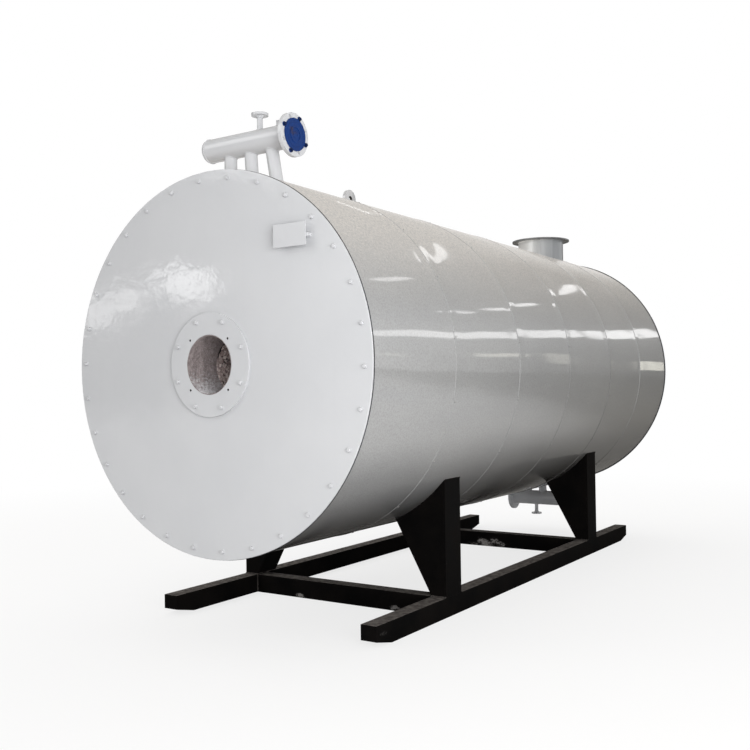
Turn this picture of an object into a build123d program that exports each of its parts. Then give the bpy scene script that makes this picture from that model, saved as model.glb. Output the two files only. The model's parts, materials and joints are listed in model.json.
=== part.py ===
"""Horizontal thermal-oil boiler: an insulated drum on a welded skid.

Frame: +X to the right seen from the burner end, +Y from the burner end to the rear, +Z up.
The origin is on the ground, at the middle of the whole boiler in plan.
"""

import os
from math import cos, radians, sin, sqrt

from build123d import *

# Drum
drum_length = 5130
plate_radius = 1100
plate_thickness = 10
plate_rim_round = 2
plate_lip = 4
ground_clearance = 487
rim_gap = 9
cladding_thickness = 3
casing_thickness = 150
casing_places = ("top", "left", "bottom", "right")
casing_turn = 45
course_width = 890
full_courses = 4
closing_courses = 2
bead_radius = 3

# Fits
seat_gap = 0.3
sheet_gap = 0.8
overrun = 50

# Burner opening in the front plate
throat_radius = 170
throat_wall = 110
throat_length = 450
ring_width = 126
ring_thickness = 14
burner_hole_inset = 32
burner_hole_radius = 7
burner_holes = 4
burner_hole_turn = 45

# Blank plate holder on the front plate, its middle in shares of the plate's radius
holder_width = 218
holder_height = 123
holder_reach = 42
holder_sheet = 4
holder_x_share = 0.554
holder_rise_share = 0.608
holder_lug_width = 24
holder_lug_height = 20
holder_lug_overhang = 7
holder_lug_drop = 6

# Skid rails and cross-members
rail_width = 106
rail_height = 124
rail_outer_x = 822
rail_inset = 419
rail_cut_length = 158
rail_cut_height = 35
cross_member_width = 106

# Legs between the rails and the drum
leg_inset = 1218
leg_depth = 200
leg_plate = 12
leg_inner_x = 459

# Header pipes, risers and small branches
header_radius = 69.85
header_wall = 4.5
header_cap_round = 18
header_cap_depth = 24
header_flange_x = 409
header_cap_x = -230
flange_width = 55.15
flange_thickness = 24
flange_edge_distance = 20
flange_hole_radius = 9
flange_holes = 8
flange_hole_turn = 22.5
top_header_inset = 275
top_header_stand = 206
bottom_header_inset = 245
bottom_header_stand = 172
riser_radius = 38.05
riser_wall = 4
riser_first_x = -75
riser_pitch = 153
riser_leans = (0, 4, 10)
branch_x = 154
branch_reach = 164
branch_radius = 16.85
branch_wall = 3.2
branch_flange_width = 33.15
branch_flange_thickness = 14
branch_hub_width = 9
branch_hub_height = 10
branch_edge_distance = 12.5
branch_hole_radius = 5.5
branch_holes = 4
branch_hole_turn = 45
socket_x = 293
socket_radius = 14
socket_bore = 8
socket_height = 30

# Cover pressed on the top header's flange
cover_radius = 94
cover_thickness = 6
cover_ring_radius = 48
cover_ring_width = 9
cover_ring_rise = 4
cover_ear_radius = 13
cover_pin_length = 30
cover_pins = 4
cover_pin_turn = 67.5

# Flue outlet on top at the rear
flue_inset = 391
flue_radius = 218
flue_wall = 6
flue_stand = 200
flue_flange_width = 60
flue_flange_thickness = 12
flue_edge_distance = 30
flue_hole_radius = 7
flue_holes = 12
flue_hole_turn = 15

# Lifting lug on top
lug_inset = 1402
lug_width = 130
lug_thickness = 20
lug_hole_rise = 72
lug_hole_radius = 21

# Places worked out from the sizes above
front_y = (holder_reach - drum_length) / 2
rear_y = front_y + drum_length
axis_height = ground_clearance + plate_radius
cladding_radius = plate_radius - plate_lip
casing_outer_radius = cladding_radius - cladding_thickness - sheet_gap
casing_inner_radius = casing_outer_radius - casing_thickness
seat_radius = cladding_radius + seat_gap
holder_x = holder_x_share * plate_radius
holder_rise = holder_rise_share * plate_radius
burner_pitch_radius = throat_radius + burner_hole_inset
rail_inner_x = rail_outer_x - rail_width
flange_radius = header_radius + flange_width
flange_pitch_radius = flange_radius - flange_edge_distance
branch_flange_radius = branch_radius + branch_flange_width
branch_pitch_radius = branch_flange_radius - branch_edge_distance
flue_flange_radius = flue_radius + flue_flange_width
flue_pitch_radius = flue_flange_radius - flue_edge_distance
top_header_y = front_y + top_header_inset
top_header_z = axis_height + cladding_radius + top_header_stand
bottom_header_y = rear_y - bottom_header_inset
bottom_header_z = axis_height - cladding_radius - bottom_header_stand
flue_y = rear_y - flue_inset
flue_rise = cladding_radius + flue_stand
leg_inner_drop = -sqrt(seat_radius**2 - leg_inner_x**2)
rail_top_drop = rail_height - axis_height
leg_fronts = {"front": front_y + leg_inset, "rear": rear_y - leg_inset - leg_depth}

os.makedirs("parts", exist_ok=True)


def save(piece, name):
    """Label a finished piece and write it to its own file."""
    piece.part.label = name
    export_step(piece.part, f"parts/{name}.step")


def end_plane(y):
    """Upright plane across the drum, facing the burner end, with its origin on the drum's axis."""
    return Plane(origin=(0, y, axis_height), x_dir=(1, 0, 0), z_dir=(0, -1, 0))


def side_plane(x, y, z, way):
    """Upright plane along the drum, facing left or right."""
    return Plane(origin=(x, y, z), x_dir=(0, way, 0), z_dir=(way, 0, 0))


# End plates: the front one is open for the burner and its screws
with BuildPart() as front_plate:
    with BuildSketch(end_plane(front_y)):
        Circle(plate_radius)
        Circle(throat_radius, mode=Mode.SUBTRACT)
        with PolarLocations(burner_pitch_radius, burner_holes, burner_hole_turn):
            Circle(burner_hole_radius, mode=Mode.SUBTRACT)
    extrude(amount=-plate_thickness)
    fillet(front_plate.edges().group_by(Axis.Y)[0].sort_by(SortBy.RADIUS)[-1], plate_rim_round)
save(front_plate, "front_plate")

with BuildPart() as rear_plate:
    with BuildSketch(end_plane(rear_y)):
        Circle(plate_radius)
    extrude(amount=plate_thickness)
    fillet(rear_plate.edges().group_by(Axis.Y)[-1], plate_rim_round)
save(rear_plate, "rear_plate")

# Insulated casing wall, in equal segments round the drum, open at the top for the flue
segment_span = 360 / len(casing_places)
for index, place in enumerate(casing_places):
    segment_start = casing_turn + index * segment_span
    with BuildPart() as casing_segment:
        with BuildSketch(end_plane(front_y + plate_thickness)):
            with BuildLine():
                outside = CenterArc((0, 0), casing_outer_radius, segment_start, segment_span)
                inside = CenterArc((0, 0), casing_inner_radius, segment_start, segment_span)
                Line(outside @ 0, inside @ 0)
                Line(outside @ 1, inside @ 1)
            make_face()
        extrude(amount=2 * plate_thickness - drum_length)
        with BuildSketch(Plane((0, flue_y, axis_height))):
            Circle(flue_radius + seat_gap)
        extrude(amount=plate_radius, mode=Mode.SUBTRACT)
    save(casing_segment, f"{place}_casing")

# Outer cladding in courses, each with a rolled bead where the next one starts
cladding_start = front_y + plate_thickness + rim_gap
cladding_end = rear_y - plate_thickness - rim_gap
closing_start = front_y + full_courses * course_width
closing_width = (rear_y - closing_start) / closing_courses
seams = [front_y + course * course_width for course in range(1, full_courses + 1)]
seams += [closing_start + course * closing_width for course in range(1, closing_courses)]
course_edges = [cladding_start, *seams, cladding_end]
course_plane = Plane((0, 0, axis_height)).rotated((0, -casing_turn, 0))
for index, (course_start, course_end) in enumerate(zip(course_edges, course_edges[1:])):
    with BuildPart() as cladding_course:
        with BuildSketch(course_plane):
            with Locations((cladding_radius, course_start)):
                Rectangle(cladding_thickness, course_end - course_start, align=(Align.MAX, Align.MIN))
            if course_end in seams:
                with BuildLine():
                    bead = CenterArc((cladding_radius, course_end - bead_radius), bead_radius, -90, 180)
                    Line(bead @ 0, bead @ 1)
                make_face()
        revolve(axis=Axis((0, 0, axis_height), (0, 1, 0)))
        with BuildSketch(Plane((0, flue_y, axis_height))):
            Circle(flue_radius + seat_gap)
        extrude(amount=plate_radius + overrun, mode=Mode.SUBTRACT)
    save(cladding_course, f"cladding_course_{index + 1}")

# Burner opening: bolted ring outside, castable throat inside
with BuildPart() as burner_ring:
    with BuildSketch(end_plane(front_y)):
        Circle(throat_radius + ring_width)
        Circle(throat_radius, mode=Mode.SUBTRACT)
        with PolarLocations(burner_pitch_radius, burner_holes, burner_hole_turn):
            Circle(burner_hole_radius, mode=Mode.SUBTRACT)
    extrude(amount=ring_thickness)
save(burner_ring, "burner_ring")

with BuildPart() as burner_throat:
    with BuildSketch(end_plane(front_y + plate_thickness)):
        Circle(throat_radius + throat_wall)
        Circle(throat_radius, mode=Mode.SUBTRACT)
    extrude(amount=-throat_length)
save(burner_throat, "burner_throat")

# Blank plate holder: a flat sheet that stands off the plate on two lugs, one at each side
with BuildPart() as plate_holder:
    with BuildSketch(end_plane(front_y - holder_reach)):
        with Locations((holder_x, holder_rise)):
            Rectangle(holder_width, holder_height)
    extrude(amount=-holder_sheet)
    lug_x = holder_width / 2 + holder_lug_overhang - holder_lug_width / 2
    with BuildSketch(end_plane(front_y)):
        with Locations(
            (holder_x - lug_x, holder_rise - holder_lug_drop),
            (holder_x + lug_x, holder_rise - holder_lug_drop),
        ):
            Rectangle(holder_lug_width, holder_lug_height)
    extrude(amount=holder_reach - holder_sheet)
save(plate_holder, "plate_holder")

# Lifting lug: a rounded plate with an eye
with BuildPart() as lifting_lug:
    with BuildSketch(side_plane(0, front_y + lug_inset, axis_height + seat_radius, 1)):
        Rectangle(lug_width, lug_hole_rise, align=(Align.CENTER, Align.MIN))
        with Locations((0, lug_hole_rise)):
            Circle(lug_width / 2)
            Circle(lug_hole_radius, mode=Mode.SUBTRACT)
    extrude(amount=lug_thickness / 2, both=True)
save(lifting_lug, "lifting_lug")

# Skid: two rails with their lower ends cut back, and two cross-members
rail_start = front_y + rail_inset
rail_end = rear_y - rail_inset
for side, way in (("left", -1), ("right", 1)):
    with BuildPart() as rail:
        with BuildSketch(Plane.YZ.offset(way * rail_outer_x)):
            with BuildLine():
                Polyline(
                    (rail_start, rail_height),
                    (rail_start, rail_cut_height),
                    (rail_start + rail_cut_length, 0),
                    (rail_end - rail_cut_length, 0),
                    (rail_end, rail_cut_height),
                    (rail_end, rail_height),
                    close=True,
                )
            make_face()
        extrude(amount=-way * rail_width)
    save(rail, f"{side}_rail")

for place, leg_front in leg_fronts.items():
    with BuildPart() as cross_member:
        with BuildSketch():
            with Locations((0, leg_front)):
                Rectangle(2 * rail_inner_x, cross_member_width, align=(Align.CENTER, Align.MIN))
        extrude(amount=rail_height)
    save(cross_member, f"{place}_cross_member")


def leg_outline(points, way):
    """Face between a leg's edges and the drum, which it is coped to."""
    with BuildSketch(mode=Mode.PRIVATE) as outline:
        with BuildLine():
            Polyline(*[(way * x, z) for x, z in points], close=True)
        make_face()
        Circle(seat_radius, mode=Mode.SUBTRACT)
    return outline.sketch


# Legs: tapered boxes of two webs, an outer plate and a slanted inner plate, coped to the drum
outer_plate_x = rail_outer_x - leg_plate
slant = sqrt((rail_inner_x - leg_inner_x) ** 2 + (rail_top_drop - leg_inner_drop) ** 2)
slant_width = leg_plate * slant / (leg_inner_drop - rail_top_drop)
web_points = [
    (leg_inner_x, leg_inner_drop),
    (rail_inner_x, rail_top_drop),
    (outer_plate_x, rail_top_drop),
    (outer_plate_x, 0),
    (leg_inner_x, 0),
]
outer_points = [
    (outer_plate_x, rail_top_drop),
    (rail_outer_x, rail_top_drop),
    (rail_outer_x, 0),
    (outer_plate_x, 0),
]
inner_points = [
    (leg_inner_x, leg_inner_drop),
    (rail_inner_x, rail_top_drop),
    (rail_inner_x + slant_width, rail_top_drop),
    (leg_inner_x + slant_width, leg_inner_drop),
    (leg_inner_x + slant_width, 0),
    (leg_inner_x, 0),
]
for place, leg_front in leg_fronts.items():
    for side, way in (("left", -1), ("right", 1)):
        with BuildPart() as leg_webs:
            for web_front in (leg_front, leg_front + leg_depth - leg_plate):
                with BuildSketch(end_plane(web_front)):
                    add(leg_outline(web_points, way))
                extrude(amount=-leg_plate)
        save(leg_webs, f"{place}_{side}_leg_webs")

        with BuildPart() as leg_plates:
            with BuildSketch(end_plane(leg_front)):
                add(leg_outline(outer_points, way))
            extrude(amount=-leg_depth)
            with BuildSketch(end_plane(leg_front + leg_plate)):
                add(leg_outline(inner_points, way))
            extrude(amount=2 * leg_plate - leg_depth)
        save(leg_plates, f"{place}_{side}_leg_plates")


def header_pieces(name, header_y, header_z, way):
    """Header pipe across the drum with its cap, flange and risers; way is 1 on top and -1 below."""
    pipe_end_x = way * header_flange_x
    cap_x = way * header_cap_x
    with BuildPart() as header_pipe:
        with BuildSketch(side_plane(cap_x, header_y, header_z, way)):
            Circle(header_radius)
            Circle(header_radius - header_wall, mode=Mode.SUBTRACT)
        extrude(amount=way * (pipe_end_x - cap_x) - header_wall)
    save(header_pipe, f"{name}_header")

    with BuildPart() as header_cap:
        with BuildSketch(side_plane(cap_x, header_y, header_z, -way)):
            Circle(header_radius)
        extrude(amount=header_cap_depth)
        fillet(header_cap.faces().sort_by(Axis.X)[0 if way > 0 else -1].edges(), header_cap_round)
    save(header_cap, f"{name}_header_cap")

    with BuildPart() as header_flange:
        with BuildSketch(side_plane(pipe_end_x, header_y, header_z, way)):
            Circle(flange_radius)
            Circle(header_radius + seat_gap, mode=Mode.SUBTRACT)
            with PolarLocations(flange_pitch_radius, flange_holes, flange_hole_turn):
                Circle(flange_hole_radius, mode=Mode.SUBTRACT)
        extrude(amount=-flange_thickness)
    save(header_flange, f"{name}_header_flange")

    with BuildPart() as risers:
        for index, lean in enumerate(riser_leans):
            riser_x = way * (riser_first_x + index * riser_pitch)
            downward = (way * sin(radians(lean)), 0, -way * cos(radians(lean)))
            with BuildSketch(Plane((riser_x, header_y, header_z), x_dir=(0, 1, 0), z_dir=downward)):
                Circle(riser_radius)
                Circle(riser_radius - riser_wall, mode=Mode.SUBTRACT)
            extrude(amount=cladding_radius)
        with BuildSketch(side_plane(0, header_y, header_z, 1)):
            Circle(header_radius + seat_gap)
        extrude(amount=cladding_radius, both=True, mode=Mode.SUBTRACT)
        with BuildSketch(end_plane(front_y)):
            Circle(seat_radius)
        extrude(amount=-drum_length, mode=Mode.SUBTRACT)
    save(risers, f"{name}_risers")


def branch_pieces(name, header_y, header_z, way):
    """Small flanged branch on a header: the vent on top, the drain below."""
    flange_face_z = header_z + way * branch_reach
    facing = (0, 0, way)
    with BuildPart() as branch_pipe:
        with BuildSketch(Plane((way * branch_x, header_y, header_z), x_dir=(1, 0, 0), z_dir=facing)):
            Circle(branch_radius)
            Circle(branch_radius - branch_wall, mode=Mode.SUBTRACT)
        extrude(amount=branch_reach - branch_wall)
        with BuildSketch(side_plane(0, header_y, header_z, 1)):
            Circle(header_radius + seat_gap)
        extrude(amount=cladding_radius, both=True, mode=Mode.SUBTRACT)
    save(branch_pipe, f"{name}_pipe")

    flange_face = Plane((way * branch_x, header_y, flange_face_z), x_dir=(1, 0, 0), z_dir=facing)
    flange_bore = branch_radius + seat_gap
    with BuildPart() as branch_flange:
        with BuildSketch(flange_face):
            Circle(branch_flange_radius)
            Circle(flange_bore, mode=Mode.SUBTRACT)
            with PolarLocations(branch_pitch_radius, branch_holes, branch_hole_turn):
                Circle(branch_hole_radius, mode=Mode.SUBTRACT)
        extrude(amount=-branch_flange_thickness)
        hub_end = -branch_flange_thickness - branch_hub_height
        with BuildSketch(Plane(flange_face.origin, x_dir=(1, 0, 0), z_dir=(0, -1, 0))):
            with BuildLine():
                Polyline(
                    (flange_bore, -way * branch_flange_thickness),
                    (branch_radius + branch_hub_width, -way * branch_flange_thickness),
                    (flange_bore + branch_wall, way * hub_end),
                    (flange_bore, way * hub_end),
                    close=True,
                )
            make_face()
        revolve(axis=Axis(flange_face.origin, facing))
    save(branch_flange, f"{name}_flange")


# Outlet header on top near the front, return header below near the rear
header_pieces("top", top_header_y, top_header_z, 1)
branch_pieces("vent", top_header_y, top_header_z, 1)
header_pieces("bottom", bottom_header_y, bottom_header_z, -1)
branch_pieces("drain", bottom_header_y, bottom_header_z, -1)

# Gauge socket on the top header, beside its flange
with BuildPart() as gauge_socket:
    with BuildSketch(Plane((socket_x, top_header_y, top_header_z))):
        Circle(socket_radius)
        Circle(socket_bore, mode=Mode.SUBTRACT)
    extrude(amount=header_radius + socket_height)
    with BuildSketch(side_plane(0, top_header_y, top_header_z, 1)):
        Circle(header_radius + seat_gap)
    extrude(amount=cladding_radius, both=True, mode=Mode.SUBTRACT)
save(gauge_socket, "gauge_socket")

# Cover on the top flange: a disc with a raised ring, held by pins in every second hole
with BuildPart() as flange_cover:
    with BuildSketch(side_plane(header_flange_x, top_header_y, top_header_z, 1)):
        Circle(cover_radius)
        with PolarLocations(flange_pitch_radius, cover_pins, cover_pin_turn):
            Circle(cover_ear_radius)
    extrude(amount=cover_thickness)
    with BuildSketch(side_plane(header_flange_x + cover_thickness, top_header_y, top_header_z, 1)):
        Circle(cover_ring_radius)
        Circle(cover_ring_radius - cover_ring_width, mode=Mode.SUBTRACT)
    extrude(amount=cover_ring_rise)
    with BuildSketch(side_plane(header_flange_x, top_header_y, top_header_z, 1)):
        with PolarLocations(flange_pitch_radius, cover_pins, cover_pin_turn):
            Circle(flange_hole_radius - seat_gap)
    extrude(amount=-cover_pin_length)
save(flange_cover, "flange_cover")

# Flue outlet: a neck through the casing and its flange
with BuildPart() as flue_neck:
    with BuildSketch(Plane((0, flue_y, axis_height + casing_inner_radius))):
        Circle(flue_radius)
        Circle(flue_radius - flue_wall, mode=Mode.SUBTRACT)
    extrude(amount=flue_rise - casing_inner_radius)
save(flue_neck, "flue_neck")

with BuildPart() as flue_flange:
    with BuildSketch(Plane((0, flue_y, axis_height + flue_rise))):
        Circle(flue_flange_radius)
        Circle(flue_radius + seat_gap, mode=Mode.SUBTRACT)
        with PolarLocations(flue_pitch_radius, flue_holes, flue_hole_turn):
            Circle(flue_hole_radius, mode=Mode.SUBTRACT)
    extrude(amount=-flue_flange_thickness)
save(flue_flange, "flue_flange")
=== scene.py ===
"""Looks of a horizontal boiler on its skid: paint, sheet metal, fasteners, welds and a plain studio.

Everything is in metres, in the part's own frame: +X right seen from the burner end, +Y to the rear, +Z up.
"""

import json
from math import cos, pi, radians, sin, sqrt, tau

import bpy
from mathutils import Matrix, Vector, noise


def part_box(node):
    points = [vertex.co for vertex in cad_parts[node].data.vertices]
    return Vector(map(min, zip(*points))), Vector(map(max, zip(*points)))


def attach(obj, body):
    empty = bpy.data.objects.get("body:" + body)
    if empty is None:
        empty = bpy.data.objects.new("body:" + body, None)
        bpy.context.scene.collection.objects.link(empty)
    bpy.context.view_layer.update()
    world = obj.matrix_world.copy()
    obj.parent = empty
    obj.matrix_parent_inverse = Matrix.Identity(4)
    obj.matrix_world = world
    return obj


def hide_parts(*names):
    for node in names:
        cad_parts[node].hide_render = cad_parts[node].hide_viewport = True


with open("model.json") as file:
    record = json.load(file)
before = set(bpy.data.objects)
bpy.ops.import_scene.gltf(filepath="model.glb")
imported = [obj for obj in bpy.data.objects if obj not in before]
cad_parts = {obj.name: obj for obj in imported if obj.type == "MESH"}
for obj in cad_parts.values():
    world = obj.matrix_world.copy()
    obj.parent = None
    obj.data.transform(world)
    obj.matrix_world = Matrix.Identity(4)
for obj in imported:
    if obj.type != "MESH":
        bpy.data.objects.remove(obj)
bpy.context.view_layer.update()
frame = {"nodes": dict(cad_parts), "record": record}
cad_nodes = frame["nodes"]
mounts = {mount["name"]: mount for mount in frame["record"]["mounts"]}
MILLIMETRE = 0.001
RIGHT = Vector((1, 0, 0))
REAR = Vector((0, 1, 0))
UP = Vector((0, 0, 1))


def half_size(node, axis="x"):
    """Half of a construction piece's size along an axis."""
    low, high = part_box(node)
    return (getattr(high, axis) - getattr(low, axis)) / 2


def centre_of(node, axis):
    """Middle of a construction piece along an axis."""
    low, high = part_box(node)
    return (getattr(low, axis) + getattr(high, axis)) / 2


# Drum, read from its end plates and its cladding
plate_low, plate_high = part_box("front_plate")
front_y = plate_low.y
rear_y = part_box("rear_plate")[1].y
plate_radius = half_size("front_plate")
axis_z = centre_of("front_plate", "z")
drum_radius = half_size("cladding_course_6")
cladding_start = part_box("cladding_course_1")[0].y
cladding_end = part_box("cladding_course_6")[1].y
seams = [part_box(f"cladding_course_{course}")[1].y for course in range(1, 6)]

# Burner opening
ring_face_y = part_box("burner_ring")[0].y
throat_low, throat_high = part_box("burner_throat")
throat_radius = mounts["burner_opening"]["dims"]["r_mm"] * MILLIMETRE
throat_outer_radius = half_size("burner_throat")

# Heads of the fasteners: number of sides, size across and height
rim_bolt_head = (6, 0.024, 0.010)
ring_bolt_head = (6, 0.024, 0.012)
seam_screw_head = (8, 0.010, 0.003)
holder_screw_head = (8, 0.012, 0.003)
cover_pin_head = (12, 0.018, 0.008)
head_chamfer_share = 0.3
head_top_share = 0.78
washer_share = 0.62
washer_thickness = 0.002
washer_sides = 18

# Places of the fasteners on the plates and the cladding
rim_bolt_count = 30
rim_bolt_turn = radians(-1.9)
rim_bolt_inset = 0.048
ring_bolt_count = 8
ring_bolt_turn = radians(20.9)
ring_bolt_pitch_radius = 0.258
seam_screw_count = 18
seam_screw_turn = radians(7.7)
seam_screw_setback = 0.018
holder_screw_drop = 0.006

# Threads of the burner ring's tapped holes
tapped_hole_turn = radians(45)
thread_turns = 10
thread_pitch = 0.0022
thread_depth = 0.0012
thread_path_points = 20

# Rings and pins of the flange cover
cover_low, cover_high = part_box("flange_cover")
cover_middle = (cover_low + cover_high) / 2
cover_face_rise = 0.006
cover_ring_radii = (0.018, 0.072, 0.090)
cover_ring_bead = 0.0015
cover_pin_count = 4
cover_pin_turn = radians(67.5)
cover_pin_pitch_radius = 0.105
cover_pin_washer = 0.012

# Headers and their risers
riser_radius = half_size("top_risers", "y")
riser_first_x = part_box("top_risers")[0].x + riser_radius
riser_pitch = 0.153
riser_leans = (0.0, radians(4), radians(10))

# Skid
rail_low, rail_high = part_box("right_rail")
rear_member_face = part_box("rear_cross_member")[0].y
front_member_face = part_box("front_cross_member")[0].y

# Throat lining: smooth in front, then a joint, then rubble
lining_rings = 116
lining_sides = 176
lining_rough = 0.0035
lining_grain = 60
lining_smear = 0.008
lining_smear_reach = 0.05
lining_set_back = 0.002
lining_clearance = 0.0008
lining_joint_depth = 0.225
lining_joint_width = 0.015
lining_joint_cut = 0.014
rubble_rough = 0.009
rubble_grain = 38

# Weld beads
pipe_bead = 0.0045
plate_bead = 0.006
ripple_pitch = 0.009
ripple_share = 0.16
bead_step = 0.003
bead_sides = 7
pipe_path_points = 72
flue_path_points = 120
leg_path_steps = 16

# Dark ropes between the end plates and the cladding, standing in for the shade in those gaps
shade_rope_inset = -0.0020
shade_rope_share = 1.1
shade_rope_step = 0.03
shade_rope_path_points = 240

# Photograph's viewpoint
camera_place = Vector((3.6457, -6.4111, 1.4352))
camera_yaw = radians(33.238)
camera_pitch = radians(0.884)
camera_roll = radians(-0.8315)
camera_lens = 44.42
camera_sensor = 36.0
camera_reach = 300.0

# Floor
floor_radius = 60.0
floor_sides = 96
floor_z = -0.001


def turns_round(count, first=0.0):
    """Angles of evenly spaced places round a circle."""
    return [first + index * tau / count for index in range(count)]


def add_object(name, data):
    """Put a mesh, a light or a camera in the scene."""
    thing = bpy.data.objects.new(name, data)
    bpy.context.scene.collection.objects.link(thing)
    return thing


# Nodes


def feed(tree, node, inputs):
    """Fill a node's sockets, by name or number: sockets are linked, colours made opaque, other values set."""
    for label, value in inputs.items():
        socket = node.inputs[label]
        if isinstance(value, bpy.types.NodeSocket):
            tree.links.new(value, socket)
        elif socket.type == "RGBA":
            socket.default_value = (*value, 1)
        else:
            socket.default_value = value


def new_node(tree, kind, inputs=None, **settings):
    """Add a node with its settings and what its sockets hold."""
    node = tree.nodes.new(kind)
    for name, value in settings.items():
        setattr(node, name, value)
    feed(tree, node, inputs or {})
    return node


def output(tree, kind, inputs=None, **settings):
    """First output of a new node."""
    return new_node(tree, kind, inputs, **settings).outputs[0]


def empty_tree(owner):
    """Node tree of a material or a world, emptied."""
    owner.use_nodes = True
    owner.node_tree.nodes.clear()
    return owner.node_tree


def maths(tree, operation, first, second=0.0):
    """Result of one maths node."""
    return output(tree, "ShaderNodeMath", {0: first, 1: second}, operation=operation)


def times(tree, first, second):
    """Product of two values."""
    return maths(tree, "MULTIPLY", first, second)


def vectors(tree, operation, first, second=(0, 0, 0)):
    """Result of one vector maths node."""
    node = new_node(tree, "ShaderNodeVectorMath", {0: first, 1: second}, operation=operation)
    return node.outputs["Value" if operation in ("LENGTH", "DOT_PRODUCT") else "Vector"]


def ramp(tree, value, low, high, start=0.0, end=1.0):
    """Smooth step of a value from start, at low, to end, at high."""
    steps = {"Value": value, "From Min": low, "From Max": high, "To Min": start, "To Max": end}
    return output(tree, "ShaderNodeMapRange", steps, interpolation_type="SMOOTHSTEP")


def mix(tree, factor, first, second):
    """Blend of two colours."""
    return new_node(tree, "ShaderNodeMix", {0: factor, 6: first, 7: second}, data_type="RGBA").outputs[2]


def tinted(tree, colour, tint, mask, share):
    """A colour under a tint, which is as strong as a mask times a share."""
    return mix(tree, times(tree, mask, share), colour, tint)


def cloud(tree, vector, scale, detail=2.0, roughness=0.5):
    """Soft noise between about 0.3 and 0.7."""
    settings = {"Vector": vector, "Scale": scale, "Detail": detail, "Roughness": roughness}
    return output(tree, "ShaderNodeTexNoise", settings)


def patchy(tree, vector, scale, detail=2.0, roughness=0.5, start=0.0, end=1.0):
    """Soft noise spread over the whole way from start to end."""
    return ramp(tree, cloud(tree, vector, scale, detail, roughness), 0.3, 0.7, start, end)


def object_place(tree):
    """The surface's own coordinates."""
    return new_node(tree, "ShaderNodeTexCoord").outputs["Object"]


def axes_of(tree, vector):
    """A vector's X, Y and Z."""
    return new_node(tree, "ShaderNodeSeparateXYZ", {0: vector}).outputs


def stretched(tree, vector, scale):
    """Coordinates scaled by axis."""
    return output(tree, "ShaderNodeMapping", {"Vector": vector, "Scale": scale})


def near(tree, vector, centre, reach):
    """1 at a point of the surface, fading to 0 a reach away; the reach has a length along each axis."""
    share = vectors(tree, "DIVIDE", vectors(tree, "SUBTRACT", vector, centre), reach)
    return ramp(tree, vectors(tree, "LENGTH", share), 0.0, 1.0, 1.0, 0.0)


def raised(tree, height, distance, normal=None, strength=1.0):
    """Normal of a surface raised by a height."""
    inputs = {"Height": height, "Distance": distance, "Strength": strength}
    if normal is not None:
        inputs["Normal"] = normal
    return output(tree, "ShaderNodeBump", inputs)


# Effects that several finishes share


def effect(name, inputs, outputs):
    """Empty shader group with named sockets: inputs by their first value, outputs by their kind."""
    group = bpy.data.node_groups.new(name, "ShaderNodeTree")
    for label, value in inputs.items():
        kind = "NodeSocketFloat" if isinstance(value, float) else "NodeSocketColor"
        group.interface.new_socket(label, in_out="INPUT", socket_type=kind).default_value = value
    for label, kind in outputs.items():
        group.interface.new_socket(label, in_out="OUTPUT", socket_type=f"NodeSocket{kind}")
    return group, group.nodes.new("NodeGroupInput").outputs, group.nodes.new("NodeGroupOutput").inputs


def settled_dust_effect():
    """Dust that lies on what faces up, thicker in patches."""
    group, given, result = effect(
        "settled_dust",
        {
            "Color": (0.5, 0.5, 0.5, 1),
            "Dust Color": (0.4, 0.36, 0.32, 1),
            "Amount": 0.5,
            "Patch Scale": 6.0,
        },
        {"Color": "Color", "Mask": "Float"},
    )
    normal = new_node(group, "ShaderNodeNewGeometry").outputs["Normal"]
    facing = ramp(group, axes_of(group, normal)["Z"], 0.2, 1.0)
    thickness = cloud(group, object_place(group), given["Patch Scale"], 5.0, 0.65)
    patches = ramp(group, thickness, 0.3, 0.65, 0.35)
    mask = times(group, times(group, facing, patches), given["Amount"])
    group.links.new(mask, result["Mask"])
    group.links.new(mix(group, mask, given["Color"], given["Dust Color"]), result["Color"])
    return group


def worn_edge_effect():
    """Softened edges: a rounded normal, and a mask that is 1 along the edges."""
    group, given, result = effect(
        "worn_edge", {"Radius": 0.003, "Break Up": 60.0}, {"Normal": "Vector", "Mask": "Float"},
    )
    rounded = output(group, "ShaderNodeBevel", {"Radius": given["Radius"]}, samples=6)
    flat = new_node(group, "ShaderNodeNewGeometry").outputs["Normal"]
    edge = ramp(group, vectors(group, "DOT_PRODUCT", rounded, flat), 0.75, 0.995, 1.0, 0.0)
    broken = ramp(group, cloud(group, object_place(group), given["Break Up"], 4.0, 0.7), 0.42, 0.62)
    group.links.new(rounded, result["Normal"])
    group.links.new(times(group, edge, broken), result["Mask"])
    return group


def specks_effect():
    """Sparse small marks of uneven size, as a mask."""
    group, given, result = effect("specks", {"Scale": 20.0, "Size": 0.1, "Share": 0.2}, {"Mask": "Float"})
    place = object_place(group)
    stir = new_node(group, "ShaderNodeTexNoise", {"Vector": place, "Scale": 40.0}).outputs["Color"]
    moved = vectors(group, "ADD", place, vectors(group, "MULTIPLY", stir, (0.004, 0.004, 0.004)))
    cells = new_node(group, "ShaderNodeTexVoronoi", {"Vector": moved, "Scale": given["Scale"]}).outputs
    spot = ramp(group, cells["Distance"], 0.0, given["Size"], 1.0, 0.0)
    drawn = output(group, "ShaderNodeSeparateColor", {0: cells["Color"]})
    chosen = maths(group, "LESS_THAN", drawn, given["Share"])
    group.links.new(times(group, spot, chosen), result["Mask"])
    return group


settled_dust = settled_dust_effect()
worn_edge = worn_edge_effect()
specks = specks_effect()


def place_effect(tree, group, inputs):
    """A shared effect placed in a finish with its own values."""
    return new_node(tree, "ShaderNodeGroup", inputs, node_tree=group).outputs


def dusty(tree, colour, dust_colour, amount, patch_scale=6.0):
    """A colour with dust settled on it, and the mask of the dust."""
    return place_effect(tree, settled_dust, {
        "Color": colour, "Dust Color": dust_colour, "Amount": amount, "Patch Scale": patch_scale,
    })


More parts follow.
